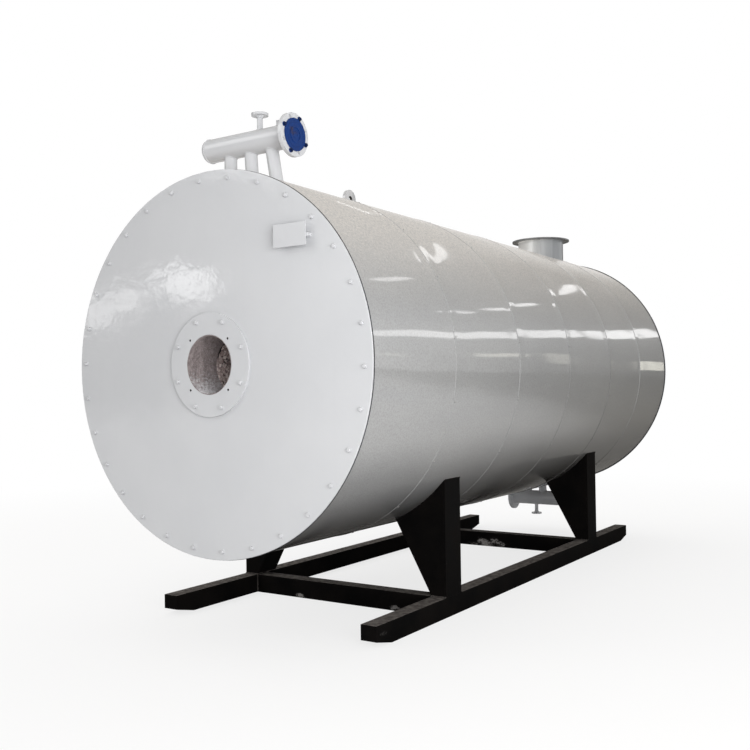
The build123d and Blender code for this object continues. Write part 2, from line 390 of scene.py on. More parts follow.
def worn(tree, radius, break_up):
    """Normal and mask of a finish's worn edges."""
    return place_effect(tree, worn_edge, {"Radius": radius, "Break Up": break_up})


def speckled(tree, scale, size, share):
    """Mask of a finish's small marks."""
    return place_effect(tree, specks, {"Scale": scale, "Size": size, "Share": share})["Mask"]


# Colours as linear red, green and blue; tones are the darker and the lighter one of a coat
plate_tones = (0.602, 0.611, 0.630), (0.630, 0.638, 0.655)
plate_runs = (0.45, 0.45, 0.46)
plate_dust = (0.52, 0.49, 0.46)
sheet_tones = (0.395, 0.400, 0.407), (0.435, 0.438, 0.440)
sheet_dust = (0.84, 0.770, 0.69)
sheet_grain = (0.16, 0.15, 0.14)
# Painted shade for the lower drum, and a darker painted shade for its belly
sheet_shade = (0.13, 0.124, 0.115)
sheet_belly_shade = (0.055, 0.050, 0.046)
# Dirt and painted shade at the rear seams, low on the drum
sheet_seam_grime_and_shade = (0.11, 0.106, 0.102)
skid_tones = (0.0030, 0.0029, 0.0030), (0.0060, 0.0052, 0.0048)
skid_weld_tones = (0.020, 0.018, 0.017), (0.060, 0.054, 0.050)
skid_scuff = (0.022, 0.019, 0.018)
skid_dust = (0.20, 0.181, 0.168)
skid_mark = (0.06, 0.050, 0.045)
skid_splash = (0.30, 0.285, 0.275)
flue_tones = (0.238, 0.25, 0.264), (0.398, 0.413, 0.428)
# Painted shade: a darker primer for the flue flange
flange_shade_tones = (0.13, 0.132, 0.135), (0.23, 0.232, 0.234)
lug_tones = (0.40, 0.405, 0.415), (0.66, 0.66, 0.67)
# Painted shade: near-black steel for the threads in the tapped holes
thread_shade_tones = (0.010, 0.010, 0.010), (0.022, 0.021, 0.021)
# Painted light: the pale colour that lightens a primer's left side
primer_painted_light = (0.90, 0.90, 0.88)
primer_dust = (0.40, 0.38, 0.36)
primer_scuff = (0.14, 0.12, 0.11)
# Painted shade for the inside of the lug's eye
eye_shade = (0.012, 0.011, 0.011)
cover_tones = (0.008, 0.032, 0.150), (0.014, 0.048, 0.200)
pin_tones = (0.005, 0.012, 0.050), (0.010, 0.022, 0.080)
cover_dirt = (0.048, 0.034, 0.034)
castable_tones = (0.19, 0.158, 0.158), (0.34, 0.295, 0.292)
pale_grit = (0.62, 0.60, 0.60)
dark_grit = (0.050, 0.040, 0.038)
# Ash and painted light for the throat's upward-facing wall
throat_ash_and_light = (0.80, 0.80, 0.83)
stone_tones = (0.46, 0.36, 0.345), (0.86, 0.76, 0.73)
# Painted shade in the gaps between the stones
stone_gap_shade = (0.018, 0.013, 0.012)
# Painted shade for the joint behind the lining
joint_shade = (0.008, 0.007, 0.007)
casing_tones = (0.13, 0.115, 0.105), (0.24, 0.215, 0.195)
# Painted shade: the dark ropes in the gaps at the end plates' rims
shade_rope_tones = (0.016, 0.017, 0.022), (0.040, 0.042, 0.050)
soot_black = (0.055, 0.050, 0.047)


# Finishes


def new_finish(name):
    """Empty finish with one surface shader, and its surface's coordinates."""
    material = bpy.data.materials.new(name)
    tree = empty_tree(material)
    surface = new_node(tree, "ShaderNodeBsdfPrincipled")
    new_node(tree, "ShaderNodeOutputMaterial", {"Surface": surface.outputs[0]})
    return material, tree, surface, object_place(tree)


def plate_paint_finish():
    """Pale grey gloss paint, rolled on, with faint patches and runs and a little dust."""
    material, tree, surface, place = new_finish("plate_paint")
    colour = mix(tree, patchy(tree, place, 1.6, 4.0), *plate_tones)
    runs = ramp(tree, cloud(tree, stretched(tree, place, (26, 26, 1.1)), 1.0, 3.0), 0.55, 0.75)
    dust = dusty(tree, tinted(tree, colour, plate_runs, runs, 0.02), plate_dust, 0.25)
    peel = raised(tree, cloud(tree, place, 160.0, 2.0), 0.0001, worn(tree, 0.003, 45.0)["Normal"])
    gloss = patchy(tree, place, 5.0, 4.0, 0.5, 0.045, 0.075)
    feed(tree, surface, {
        "Base Color": dust["Color"],
        "Roughness": maths(tree, "ADD", gloss, times(tree, dust["Mask"], 0.4)),
        "Normal": raised(tree, cloud(tree, place, 11.0, 3.0), 0.0014, peel),
    })
    return material


# Shape of the sheet: how far it lifts at a seam and over what reach, and the depth of its waves
seam_lift = 0.0026
seam_lift_reach = 0.10
seam_grime_and_shade_reach = 0.010
sheet_wave = 0.005

# Flat spots where the sheet is pulled down at a lap: seam, angle, reach round and along the drum, depth
flat_spots = (
    (0, radians(42), 0.21, 0.27, 0.0055),
    (2, radians(38), 0.20, 0.27, 0.0056),
)


def near_seams(tree, along, which, reach):
    """1 at each of some seams of the cladding, easing to 0 a reach away."""
    span = cladding_end - cladding_start
    limits = {"Value": along, "From Min": cladding_start, "From Max": cladding_end}
    blend = new_node(tree, "ShaderNodeValToRGB", {0: output(tree, "ShaderNodeMapRange", limits)})
    bands = blend.color_ramp
    bands.interpolation = "EASE"
    stops = [(0.0, 0.0)]
    for seam in which:
        at = (seam - cladding_start) / span
        stops += [(max(at - reach / span, 0.0), 0.0), (at, 1.0), (min(at + reach / span, 1.0), 0.0)]
    stops.append((1.0, 0.0))
    while len(bands.elements) < len(stops):
        bands.elements.new(1.0)
    for element, (position, level) in zip(bands.elements, stops):
        element.position = position
        element.color = (level, level, level, 1)
    return blend.outputs[0]


def up_the_drum(tree, axes, low, high, start, end):
    """Ramp between two heights, which are counted from the drum's axis in drum radii."""
    return ramp(tree, axes["Z"], axis_z + low * drum_radius, axis_z + high * drum_radius, start, end)


def sheet_shape(tree, place, axes):
    """Normal of the sheet: slow waves, lifted at the seams, more so on top, with a few flat spots."""
    upper = ramp(tree, axes["Z"], axis_z, axis_z + 0.9, 0.25, 1.0)
    lift = times(tree, near_seams(tree, axes["Y"], seams, seam_lift_reach), upper)
    waves = cloud(tree, stretched(tree, place, (1.0, 0.55, 1.0)), 2.2, 1.0)
    normal = raised(tree, lift, seam_lift, raised(tree, waves, sheet_wave))
    for seam, angle, round_reach, along_reach, depth in flat_spots:
        middle = (drum_radius * cos(angle), seams[seam], axis_z + drum_radius * sin(angle))
        pressed = near(tree, place, middle, (round_reach, along_reach, round_reach))
        normal = raised(tree, maths(tree, "SUBTRACT", 1.0, pressed), depth, normal)
    return normal


def cladding_sheet_finish():
    """Coated sheet, speckled under a clear gloss: wavy, dusty on top, with painted shade that darkens it
    downwards and towards the rear, and dirt with painted shade at the rear seams low down.
    """
    material, tree, surface, place = new_finish("cladding_sheet")
    axes = axes_of(tree, place)
    grain = cloud(tree, place, 110.0, 3.0, 0.8)
    smears = patchy(tree, stretched(tree, place, (2.2, 0.5, 2.2)), 1.5, 5.0, 0.6)
    dust = dusty(tree, mix(tree, smears, *sheet_tones), sheet_dust, 0.92, 68.0)
    grainy = mix(tree, 0.42, dust["Color"], sheet_grain)
    colour = mix(tree, ramp(tree, grain, 0.30, 0.65), grainy, dust["Color"])
    # Painted shade: darker down the drum, more so towards the rear, and darker still on the belly
    rearward = ramp(tree, axes["Y"], front_y, rear_y * 0.6, 0.05, 1.0)
    colour = tinted(tree, colour, sheet_shade, up_the_drum(tree, axes, -0.95, 0.15, 0.95, 0.0), rearward)
    colour = mix(tree, up_the_drum(tree, axes, -0.95, -0.62, 0.8, 0.0), colour, sheet_belly_shade)
    # Dirt and painted shade at the rear seams, low on the drum, dimming the lips that catch the light
    rear_seams = near_seams(tree, axes["Y"], seams[2:], seam_grime_and_shade_reach)
    seam_grime_and_shade = times(tree, rear_seams, up_the_drum(tree, axes, 0.0, 0.3, 0.65, 0.0))
    shape = sheet_shape(tree, place, axes)
    covered = maths(tree, "MAXIMUM", dust["Mask"], seam_grime_and_shade)
    feed(tree, surface, {
        "Base Color": mix(tree, seam_grime_and_shade, colour, sheet_seam_grime_and_shade),
        "Metallic": maths(tree, "SUBTRACT", 0.28, times(tree, covered, 0.28)),
        "Roughness": ramp(tree, grain, 0.3, 0.7, 0.36, 0.46),
        "Normal": shape,
        "Coat Weight": maths(tree, "SUBTRACT", 1.0, times(tree, covered, 0.85)),
        "Coat Roughness": 0.06,
        "Coat Normal": shape,
    })
    return material


# Dried splashes and scuffs on the skid: middle, reach along each axis, and how much shows
splashes = (
    ((-0.10, rear_member_face, 0.025), (0.46, 0.08, 0.11), 0.75),
    ((-0.33, front_member_face, 0.015), (0.12, 0.05, 0.04), 0.7),
    ((0.44, front_member_face, 0.020), (0.09, 0.05, 0.04), 0.7),
    ((-0.68, rail_low.y, 0.100), (0.10, 0.05, 0.03), 0.15),
    ((rail_high.x, rail_low.y + 0.08, 0.070), (0.05, 0.10, 0.04), 0.14),
)


def skid_paint_finish(name, tones):
    """Black paint, dusty on top, scuffed at the edges, with dried splashes low on the cross-members."""
    material, tree, surface, place = new_finish(name)
    patches = patchy(tree, place, 4.0, 5.0, 0.6)
    edge = worn(tree, 0.004, 35.0)
    colour = tinted(tree, mix(tree, patches, *tones), skid_scuff, edge["Mask"], 0.4)
    dust = dusty(tree, colour, skid_dust, 0.9, 26.0)
    colour = tinted(tree, dust["Color"], skid_mark, speckled(tree, 16.0, 0.10, 0.10), 0.2)
    blots = times(tree, cloud(tree, place, 15.0, 3.0), 0.45)
    drops = times(tree, cloud(tree, place, 70.0, 5.0, 0.8), 0.55)
    spatter = maths(tree, "ADD", blots, drops)
    for middle, reach, shown in splashes:
        lift = ramp(tree, near(tree, place, middle, reach), 0.0, 1.0, -0.22, 0.05)
        thrown = ramp(tree, maths(tree, "ADD", spatter, lift), 0.50, 0.60)
        colour = tinted(tree, colour, skid_splash, thrown, shown)
    feed(tree, surface, {
        "Base Color": colour,
        "Roughness": ramp(tree, maths(tree, "ADD", patches, dust["Mask"]), 0.0, 1.6, 0.5, 0.8),
        "Specular IOR Level": 0.015,
        "Normal": raised(tree, cloud(tree, place, 120.0, 3.0), 0.0004, edge["Normal"]),
    })
    return material


def primer_finish(name, tones, light_left_share=0.0):
    """Grey primer over steel, streaked downwards, with painted light that makes its left side paler by a
    given share.
    """
    material, tree, surface, place = new_finish(name)
    streaks = patchy(tree, stretched(tree, place, (14, 14, 0.8)), 1.0, 4.0)
    # Painted light: the left side is blended towards a pale colour, by the given share
    painted_light_left = ramp(tree, axes_of(tree, place)["X"], -0.13, 0.21, light_left_share, 0.0)
    colour = mix(tree, painted_light_left, mix(tree, streaks, *tones), primer_painted_light)
    edge = worn(tree, 0.003, 40.0)
    dust = dusty(tree, colour, primer_dust, 0.5)
    feed(tree, surface, {
        "Base Color": tinted(tree, dust["Color"], primer_scuff, edge["Mask"], 0.5),
        "Metallic": 0.2,
        "Roughness": ramp(tree, streaks, 0.0, 1.0, 0.26, 0.40),
        "Normal": raised(tree, cloud(tree, place, 90.0, 3.0), 0.0003, edge["Normal"]),
    })
    return material


def lug_finish():
    """The lug's grey primer, with painted shade that makes the inside of its eye near black."""
    material = primer_finish("lug_steel", lug_tones)
    tree = material.node_tree
    surface = next(node for node in tree.nodes if node.type == "BSDF_PRINCIPLED")
    eye = mounts["lifting_eye"]
    eye_radius = eye["dims"]["r_mm"] * MILLIMETRE
    offset = vectors(tree, "SUBTRACT", object_place(tree), eye["pos_m"])
    away = vectors(tree, "LENGTH", vectors(tree, "MULTIPLY", offset, (0, 1, 1)))
    # Painted shade: the eye's inner wall turns near black
    eye_shade_mask = ramp(tree, away, eye_radius * 1.02, eye_radius * 1.15, 1.0, 0.0)
    primer = surface.inputs["Base Color"].links[0].from_socket
    feed(tree, surface, {"Base Color": mix(tree, eye_shade_mask, primer, eye_shade)})
    return material


# Dirt on the blue cover, on the side nearer the burner end
cover_stain_place = (cover_high.x, cover_middle.y - 0.030, cover_middle.z + 0.012)
cover_stain_reach = (0.05, 0.055, 0.060)


def cover_plastic_finish(name, tones):
    """Moulded blue plastic, scuffed and a little dirty."""
    material, tree, surface, place = new_finish(name)
    scuffs = ramp(tree, cloud(tree, place, 60.0, 5.0, 0.65), 0.35, 0.7)
    stain = times(tree, near(tree, place, cover_stain_place, cover_stain_reach), 0.22)
    dirt = maths(tree, "ADD", cloud(tree, place, 34.0, 5.0, 0.65), stain)
    dirt = ramp(tree, dirt, 0.60, 0.80, 0.0, 0.60)
    feed(tree, surface, {
        "Base Color": mix(tree, dirt, mix(tree, scuffs, *tones), cover_dirt),
        "Roughness": ramp(tree, scuffs, 0.0, 1.0, 0.42, 0.62),
        "Specular IOR Level": 0.12,
        "Normal": raised(tree, scuffs, 0.0002, worn(tree, 0.002, 80.0)["Normal"]),
    })
    return material


def castable_finish():
    """Fired castable: grey brown and grainy in front, paler where it faces up as ash and painted light, and
    loose stones with painted shade in their gaps behind a joint with painted shade in its upper part.
    """
    material, tree, surface, place = new_finish("castable")
    axes = axes_of(tree, place)
    body = patchy(tree, place, 22.0, 6.0, 0.7)
    colour = mix(tree, body, *castable_tones)
    colour = tinted(tree, colour, pale_grit, speckled(tree, 95.0, 0.36, 0.26), 0.7)
    colour = tinted(tree, colour, dark_grit, speckled(tree, 70.0, 0.30, 0.22), 0.8)
    # Pale ash on what faces up, which is also painted light on the throat's lower wall
    colour = dusty(tree, colour, throat_ash_and_light, 1.0, 30.0)["Color"]
    stones = new_node(tree, "ShaderNodeTexVoronoi", {"Vector": place, "Scale": 62.0}).outputs
    drawn = output(tree, "ShaderNodeSeparateColor", {0: stones["Color"]})
    stone = mix(tree, ramp(tree, drawn, 0.2, 0.9), *stone_tones)
    # Painted shade in the gaps between the stones
    gaps = ramp(tree, stones["Distance"], 0.58, 0.90, 0.0, 0.9)
    stone = mix(tree, gaps, stone, stone_gap_shade)
    joint_y = throat_low.y + lining_joint_depth
    behind = ramp(tree, axes["Y"], joint_y, joint_y + lining_joint_width)
    colour = mix(tree, behind, colour, stone)
    # Painted shade in the joint, on its upper part only
    across = maths(tree, "ABSOLUTE", maths(tree, "SUBTRACT", axes["Y"], joint_y + lining_joint_width / 2))
    joint = ramp(tree, across, lining_joint_width * 0.45, lining_joint_width * 0.6, 1.0, 0.0)
    upper = ramp(tree, axes["Z"], axis_z + 0.03, axis_z + 0.06)
    feed(tree, surface, {
        "Base Color": tinted(tree, colour, joint_shade, joint, upper),
        "Roughness": ramp(tree, body, 0.0, 1.0, 0.7, 0.95),
        "Normal": raised(tree, cloud(tree, place, 180.0, 5.0, 0.7), 0.0025),
    })
    return material


def insulation_finish(name, tones):
    """Dull, fibrous and sooty: the furnace's inner wall, and the dark ropes that stand in for the shade in
    the gaps at the end plates.
    """
    material, tree, surface, place = new_finish(name)
    body = patchy(tree, place, 9.0, 6.0, 0.7)
    soot = ramp(tree, cloud(tree, place, 2.0, 3.0), 0.4, 0.65)
    feed(tree, surface, {
        "Base Color": tinted(tree, mix(tree, body, *tones), soot_black, soot, 0.6),
        "Roughness": ramp(tree, body, 0.0, 1.0, 0.75, 0.95),
        "Normal": raised(tree, cloud(tree, place, 60.0, 5.0, 0.7), 0.003),
    })
    return material


finishes = {
    "plate_paint": plate_paint_finish(),
    "cladding_sheet": cladding_sheet_finish(),
    "skid_paint": skid_paint_finish("skid_paint", skid_tones),
    "flue_paint": primer_finish("flue_paint", flue_tones, light_left_share=0.95),
    "cover_plastic": cover_plastic_finish("cover_plastic", cover_tones),
    "castable": castable_finish(),
    "casing_insulation": insulation_finish("casing_insulation", casing_tones),
}
pin_plastic = cover_plastic_finish("pin_plastic", pin_tones)
# A darker copy of the primer for the flue flange: painted shade for its rim and underside
shaded_flange_steel = primer_finish("shaded_flange_steel", flange_shade_tones)
lug_steel = lug_finish()
# Paler black for the welds between the cross-members and the rails
pale_weld = skid_paint_finish("pale_weld", skid_weld_tones)
# Dark rope finish: painted shade filling the gaps at the plates' rims
shade_rope = insulation_finish("shade_rope", shade_rope_tones)
# Near-black primer for the threads: painted shade in the tapped holes
shaded_thread_steel = primer_finish("shaded_thread_steel", thread_shade_tones)
own_finishes = {"flue_flange": shaded_flange_steel, "lifting_lug": lug_steel}


def paint_cad_nodes():
    """Give every construction piece the finish of its slot, or its own variant of it."""
    for subpart in frame["record"]["subparts"]:
        finish = own_finishes.get(subpart["node"], finishes[subpart["material_slot"]])
        for slot in cad_nodes[subpart["node"]].material_slots:
            slot.material = finish


# Trees that grow fasteners and weld beads


def growing_tree(name, inputs):
    """Empty geometry tree with named sizes by kind, a material and a mesh to grow on."""
    tree = bpy.data.node_groups.new(name, "GeometryNodeTree")
    for label, kind in {"Geometry": "Geometry", **inputs, "Material": "Material"}.items():
        tree.interface.new_socket(label, in_out="INPUT", socket_type=f"NodeSocket{kind}")
    tree.interface.new_socket("Geometry", in_out="OUTPUT", socket_type="NodeSocketGeometry")
    return tree, tree.nodes.new("NodeGroupInput").outputs


def close_tree(tree, given, geometry):
    """End a tree with plain, painted geometry."""
    real = output(tree, "GeometryNodeRealizeInstances", {"Geometry": geometry})
    paint = {"Geometry": real, "Material": given["Material"]}
    new_node(tree, "NodeGroupOutput", {0: output(tree, "GeometryNodeSetMaterial", paint)})
    return tree


def lifted(tree, mesh, height):
    """A mesh moved up by a height."""
    offset = output(tree, "ShaderNodeCombineXYZ", {"Z": height})
    return output(tree, "GeometryNodeTransform", {"Geometry": mesh, "Translation": offset})


def fastener_tree():
    """A washer and a chamfered head at each point, facing along the point's own direction."""
    tree, given = growing_tree("fastener_heads", {
        "Sides": "Int",
        "Head Radius": "Float",
        "Head Height": "Float",
        "Washer Radius": "Float",
        "Washer Thickness": "Float",
        "Seed": "Int",
    })
    washer_height = given["Washer Thickness"]
    chamfer = times(tree, given["Head Height"], head_chamfer_share)
    body_height = maths(tree, "SUBTRACT", given["Head Height"], chamfer)
    body = new_node(tree, "GeometryNodeMeshCylinder", {
        "Vertices": given["Sides"], "Radius": given["Head Radius"], "Depth": body_height,
    }).outputs["Mesh"]
    top = new_node(tree, "GeometryNodeMeshCone", {
        "Vertices": given["Sides"],
        "Radius Top": times(tree, given["Head Radius"], head_top_share),
        "Radius Bottom": given["Head Radius"],
        "Depth": chamfer,
    }).outputs["Mesh"]
    washer = new_node(tree, "GeometryNodeMeshCylinder", {
        "Vertices": washer_sides, "Radius": given["Washer Radius"], "Depth": washer_height,
    }).outputs["Mesh"]
    head = new_node(tree, "GeometryNodeJoinGeometry")
    for part, rise in (
        (washer, times(tree, washer_height, 0.5)),
        (body, maths(tree, "ADD", times(tree, body_height, 0.5), washer_height)),
        (top, maths(tree, "ADD", body_height, washer_height)),
    ):
        feed(tree, head, {0: lifted(tree, part, rise)})
    facing = output(tree, "GeometryNodeInputNamedAttribute", {"Name": "facing"}, data_type="FLOAT_VECTOR")
    upright = output(tree, "FunctionNodeAlignRotationToVector", {"Vector": facing}, axis="Z")
    spin = new_node(tree, "FunctionNodeRandomValue", {"Seed": given["Seed"]}, data_type="FLOAT")
    turn = output(tree, "ShaderNodeCombineXYZ", {"Z": times(tree, spin.outputs[1], tau)})
    spun = output(tree, "FunctionNodeEulerToRotation", {0: turn})
    rotation = output(tree, "FunctionNodeRotateRotation", {0: upright, 1: spun}, rotation_space="LOCAL")
    heads = output(tree, "GeometryNodeInstanceOnPoints", {
        "Points": given["Geometry"], "Instance": head.outputs[0], "Rotation": rotation,
    })
    return close_tree(tree, given, heads)


def bead_tree():
    """A round bead along each path, rippled along its length."""
    tree, given = growing_tree("weld_beads", {
        "Bead Radius": "Float",
        "Ripple Pitch": "Float",
        "Ripple Share": "Float",
        "Step": "Float",
        "Sides": "Int",
    })
    path = {"Curve": output(tree, "GeometryNodeMeshToCurve", {0: given["Geometry"]})}
    even = output(tree, "GeometryNodeResampleCurve", {**path, "Length": given["Step"]}, mode="LENGTH")
    length = new_node(tree, "GeometryNodeSplineParameter").outputs["Length"]
    phase = times(tree, maths(tree, "DIVIDE", length, given["Ripple Pitch"]), tau)
    ripple = times(tree, maths(tree, "SINE", phase), given["Ripple Share"])
    swollen = output(tree, "GeometryNodeSetCurveRadius", {
        "Curve": even, "Radius": maths(tree, "ADD", ripple, 1.0),
    })
    section = output(tree, "GeometryNodeCurvePrimitiveCircle", {
        "Resolution": given["Sides"], "Radius": given["Bead Radius"],
    })
    bead = output(tree, "GeometryNodeCurveToMesh", {
        "Curve": swollen, "Profile Curve": section, "Fill Caps": True,
    })
    smooth = output(tree, "GeometryNodeSetShadeSmooth", {"Geometry": bead})
    return close_tree(tree, given, smooth)


fastener_heads = fastener_tree()
weld_beads = bead_tree()


def add_piece(name, mesh):
    """Put a finished mesh in the scene, on the boiler's one body."""
    piece = add_object(name, mesh)
    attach(piece, "root")
    return piece


def grown_mesh(name, seed_mesh, tree, sizes):
    """Plain mesh that a tree grows on a seed mesh."""
    seed = add_object(name + "_seed", seed_mesh)
    modifier = seed.modifiers.new("grow", "NODES")
    modifier.node_group = tree
    sockets = {item.name: item.identifier for item in tree.interface.items_tree if item.in_out == "INPUT"}
    for label, value in sizes.items():
        modifier[sockets[label]] = value
    graph = bpy.context.evaluated_depsgraph_get()
    mesh = bpy.data.meshes.new_from_object(seed.evaluated_get(graph), depsgraph=graph)
    mesh.name = name
    bpy.data.objects.remove(seed)
    return mesh


def add_fasteners(name, places, head, slot, material=None, washer=None, seed=1):
    """One piece of all the heads at the given places, each a point and the way that it faces."""
    sides, across, height = head
    seed_mesh = bpy.data.meshes.new(name + "_places")
    seed_mesh.from_pydata([place for place, _ in places], [], [])
    attribute = seed_mesh.attributes.new("facing", "FLOAT_VECTOR", "POINT")
    for item, (_, facing) in zip(attribute.data, places):
        item.vector = facing
    mesh = grown_mesh(name, seed_mesh, fastener_heads, {
        "Sides": sides,
        "Head Radius": across / 2,
        "Head Height": height,
        "Washer Radius": washer or across * washer_share,
        "Washer Thickness": washer_thickness,
        "Seed": seed,
        "Material": material or finishes[slot],
    })
    add_piece(name, mesh)


def add_beads(name, paths, radius, slot, material=None, ripple=ripple_share, step=bead_step):
    """One piece of all the beads along the given paths, each a list of points and whether it is closed."""
    points = []
    edges = []
    for path, closed in paths:
        first = len(points)
        points += path
        edges += [(at, at + 1) for at in range(first, len(points) - 1)]
        if closed:
            edges.append((len(points) - 1, first))
    seed_mesh = bpy.data.meshes.new(name + "_paths")
    seed_mesh.from_pydata(points, edges, [])
    mesh = grown_mesh(name, seed_mesh, weld_beads, {
        "Bead Radius": radius,
        "Ripple Pitch": ripple_pitch,
        "Ripple Share": ripple,
        "Step": step,
        "Sides": bead_sides,
        "Material": material or finishes[slot],
    })
    add_piece(name, mesh)


# Fasteners


def on_plate(radius, angle, y):
    """Point on an end plate, its angle counted from the right-hand side upwards."""
    return Vector((radius * cos(angle), y, axis_z + radius * sin(angle)))


def add_rim_bolts():
    """Bolts round the rim of both end plates."""
    for name, y, facing in (("front_rim_bolts", front_y, -REAR), ("rear_rim_bolts", rear_y, REAR)):
        turns = turns_round(rim_bolt_count, rim_bolt_turn)
        places = [(on_plate(plate_radius - rim_bolt_inset, turn, y), facing) for turn in turns]
        add_fasteners(name, places, rim_bolt_head, "plate_paint", seed=3)


def add_ring_bolts():
    """Bolts that hold the burner ring."""
    turns = turns_round(ring_bolt_count, ring_bolt_turn)
    places = [(on_plate(ring_bolt_pitch_radius, turn, ring_face_y), -REAR) for turn in turns]
    add_fasteners("burner_ring_bolts", places, ring_bolt_head, "plate_paint", seed=5)


def add_holder_screw():
    """Screw through the holder's right lug."""
    low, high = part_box("plate_holder")
    place = Vector((high.x, (low.y + front_y) / 2, (low.z + high.z) / 2 - holder_screw_drop))
    add_fasteners("holder_screw", [(place, RIGHT)], holder_screw_head, "plate_paint")


def add_seam_screws():
    """Small screws through the laps of the cladding, behind each seam and at the rear edge."""
    rows = [seam + seam_screw_setback for seam in seams]
    rows.append(cladding_end - seam_screw_setback)
    places = []
    for y in rows:
        for turn in turns_round(seam_screw_count, seam_screw_turn):
            outward = Vector((cos(turn), 0, sin(turn)))
            places.append((outward * drum_radius + Vector((0, y, axis_z)), outward))
    add_fasteners("seam_screws", places, seam_screw_head, "cladding_sheet", seed=7)


# Weld beads


def around(centre, first, second, radius, count=pipe_path_points):
    """Closed circle about a centre, spanned by two directions."""
    turns = turns_round(count)
    return [centre + radius * (cos(turn) * first + sin(turn) * second) for turn in turns], True


def pipe_lines(origin, direction, radius):
    """Starts of the straight lines along a pipe's outside."""
    return around(origin, REAR, direction.cross(REAR).normalized(), radius)[0]


def meets_cylinder(start, direction, centre, along, radius, far_side):
    """Where a line meets a cylinder about an axis parallel to X or Y."""
    across = [index for index in range(3) if index != along]
    offset = [start[index] - centre[index] for index in across]
    slope = [direction[index] for index in across]
    a = slope[0] ** 2 + slope[1] ** 2
    b = offset[0] * slope[0] + offset[1] * slope[1]
    c = offset[0] ** 2 + offset[1] ** 2 - radius**2
    root = sqrt(b * b - a * c)
    return start + direction * ((-b + (root if far_side else -root)) / a)


def branch_weld(origin, direction, radius, header_radius):
    """Closed path where a branch leaves a header that runs along X."""
    starts = pipe_lines(origin, direction, radius)
    return [meets_cylinder(start, direction, origin, 0, header_radius, True) for start in starts], True


def drum_weld(origin, direction, radius):
    """Closed path where a pipe from outside meets the drum."""
    axis = Vector((0, 0, axis_z))
    starts = pipe_lines(origin, direction, radius)
    return [meets_cylinder(start, direction, axis, 1, drum_radius, False) for start in starts], True


def header_paths(name, branch, way):
    """Welds of one header: risers, branch, cap and flange; way is 1 on top and -1 below."""
    near_end, far_end = (0, 1) if way > 0 else (1, 0)
    header, pipe = f"{name}_header", f"{branch}_pipe"
    radius = half_size(header, "z")
    middle = Vector((0, centre_of(header, "y"), centre_of(header, "z")))
    paths = []
    for index, lean in enumerate(riser_leans):
        origin = middle + Vector((way * (riser_first_x + index * riser_pitch), 0, 0))
        downward = Vector((way * sin(lean), 0, -way * cos(lean)))
        paths.append(branch_weld(origin, downward, riser_radius, radius))
        paths.append(drum_weld(origin, downward, riser_radius))
    pipe_radius = half_size(pipe, "y")
    branch_origin = Vector((centre_of(pipe, "x"), middle.y, middle.z))
    paths.append(branch_weld(branch_origin, way * UP, pipe_radius, radius))
    hub = Vector((branch_origin.x, middle.y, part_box(f"{branch}_flange")[near_end].z))
    paths.append(around(hub, RIGHT, REAR, pipe_radius))
    cap_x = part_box(f"{header}_cap")[far_end].x
    flange_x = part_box(f"{header}_flange")[near_end].x
    for x in (cap_x, flange_x):
        paths.append(around(Vector((x, middle.y, middle.z)), REAR, UP, radius))
    return paths


def socket_path():
    """Weld round the gauge socket on the top header."""
    x, y = (centre_of("gauge_socket", axis) for axis in "xy")
    origin = Vector((x, y, centre_of("top_header", "z")))
    return branch_weld(origin, UP, half_size("gauge_socket"), half_size("top_header", "z"))


def lug_path():
    """Weld round the foot of the lifting lug."""
    low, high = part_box("lifting_lug")
    corners = ((low.x, low.y), (high.x, low.y), (high.x, high.y), (low.x, high.y))
    return [Vector((x, y, axis_z + drum_radius)) for x, y in corners], True


def on_drum(x, y):
    """Point low on the drum's outside."""
    return Vector((x, y, axis_z - sqrt(drum_radius**2 - x * x)))


def leg_paths(place, side, way):
    """Welds of one leg: along the drum, and round its foot on the rail."""
    low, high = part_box(f"{place}_{side}_leg_plates")
    inner_x, outer_x = sorted((abs(low.x), abs(high.x)))
    xs = [inner_x + (outer_x - inner_x) * step / leg_path_steps for step in range(leg_path_steps + 1)]
    paths = [([on_drum(way * x, y) for x in xs], False) for y in (low.y, high.y)]
    paths.append(([on_drum(way * outer_x, low.y), on_drum(way * outer_x, high.y)], False))
    corners = [(outer_x, low.y), (rail_low.x, low.y), (rail_low.x, high.y), (outer_x, high.y)]
    paths.append(([Vector((way * x, y, rail_high.z)) for x, y in corners], False))
    return paths


def cross_member_paths(place):
    """Welds between a cross-member and the rails, up both faces and over the top."""
    low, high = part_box(f"{place}_cross_member")
    corners = [(low.y, low.z), (low.y, high.z), (high.y, high.z), (high.y, low.z)]
    return [([Vector((x, y, z)) for y, z in corners], False) for x in (low.x, high.x)]


def flue_paths():
    """Welds of the flue neck: round the drum and under the flange."""
    radius = half_size("flue_neck")
    middle_y = centre_of("flue_neck", "y")
    foot = []
    for turn in turns_round(flue_path_points):
        x = radius * cos(turn)
        foot.append(Vector((x, middle_y + radius * sin(turn), axis_z + sqrt(drum_radius**2 - x * x))))
    collar_middle = Vector((0, middle_y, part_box("flue_flange")[0].z))
    return [(foot, True), around(collar_middle, RIGHT, REAR, radius, flue_path_points)]


def add_rim_shade_ropes():
    """Dark ropes in the gaps between the end plates and the cladding: painted shade for those gaps."""
    front_gap = cladding_start - plate_high.y
    rear_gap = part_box("rear_plate")[0].y - cladding_end
    rings = []
    for y, gap in ((plate_high.y + front_gap / 2, front_gap), (cladding_end + rear_gap / 2, rear_gap)):
        radius = plate_radius - shade_rope_inset - gap / 2
        rings.append(around(Vector((0, y, axis_z)), RIGHT, UP, radius, shade_rope_path_points))
    rope_radius = front_gap / 2 * shade_rope_share
    add_beads("rim_shade_ropes", rings, rope_radius, "casing_insulation", shade_rope, 0.0, shade_rope_step)


